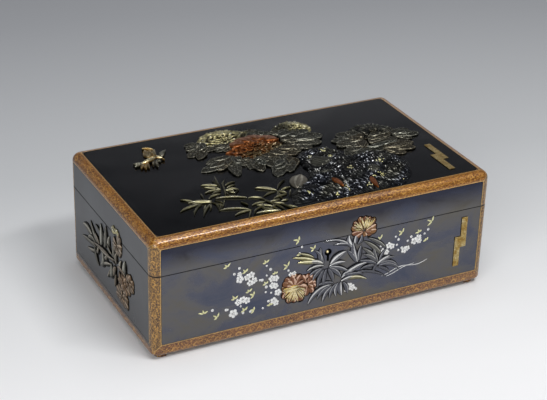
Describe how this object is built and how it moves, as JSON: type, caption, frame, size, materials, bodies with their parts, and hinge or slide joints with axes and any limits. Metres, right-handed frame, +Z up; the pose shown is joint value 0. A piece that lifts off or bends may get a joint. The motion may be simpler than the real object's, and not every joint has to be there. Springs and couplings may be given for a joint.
{
  "type": "decorative box",
  "caption": "Decorative lacquered box with a lift-off lid, inset dark metal panels and a garden picture in high relief metal inlay",
  "frame": {"origin": "middle of the bounding box in plan, on the plane that the feet stand on", "axes": "+X to the right along the long side, +Y to the back, +Z up; the face with the keyhole is towards -Y"},
  "size_m": [0.2886, 0.1696, 0.1052],
  "materials": {
    "lacquer": "gold-flecked amber lacquer over wood, polished",
    "panel_metal": "dark grey patinated copper alloy, satin",
    "rock_metal": "black patinated copper alloy, carved",
    "leaf_silver": "grey copper and silver alloy, carved",
    "gold": "gold, finely punched",
    "pale_gold": "pale gold and silver alloy, engraved",
    "red_copper": "red patinated copper, carved",
    "pin_brass": "turned brass"
  },
  "bodies": {
    "root": {"box_body": "lacquer", "lid": "lacquer", "top_panel": "panel_metal", "front_panel_lower": "panel_metal", "front_panel_upper": "panel_metal", "back_panel_lower": "panel_metal", "back_panel_upper": "panel_metal", "left_panel_lower": "panel_metal", "left_panel_upper": "panel_metal", "right_panel_lower": "panel_metal", "right_panel_upper": "panel_metal", "lock_pin": "pin_brass", "foot_front_left": "lacquer", "foot_front_right": "lacquer", "foot_back_left": "lacquer", "foot_back_right": "lacquer", "garden_rock": "rock_metal", "red_peony": "red_copper", "gold_peony_left": "gold", "gold_peony_right": "gold", "grey_peony": "leaf_silver", "leaf_far_left": "leaf_silver", "leaf_between": "leaf_silver", "leaf_lower_left": "leaf_silver", "leaf_lower_middle": "leaf_silver", "leaf_below": "leaf_silver", "leaf_right": "leaf_silver", "leaf_middle_right": "leaf_silver", "leaf_far_right": "leaf_silver", "leaf_low_right": "leaf_silver", "grey_stone_leaf": "leaf_silver", "bamboo_upper": "pale_gold", "bamboo_left": "pale_gold", "bamboo_right": "pale_gold", "bamboo_low": "pale_gold", "bird": "gold", "stepped_bar_top": "gold", "front_peony_low": "red_copper", "front_petals_low": "red_copper", "front_peony_high": "red_copper", "front_leaves_left": "leaf_silver", "front_leaves_low": "leaf_silver", "front_leaves_right": "leaf_silver", "stepped_bar_front": "gold", "left_leaves_back": "rock_metal", "left_flower_low": "red_copper", "left_flower_high": "red_copper", "left_bud_high": "gold", "left_flower_front": "red_copper", "left_leaves_front": "rock_metal", "right_leaves_back": "rock_metal", "right_flower_low": "red_copper", "back_peony": "red_copper", "back_leaves": "leaf_silver"}
  },
  "joints": []
}
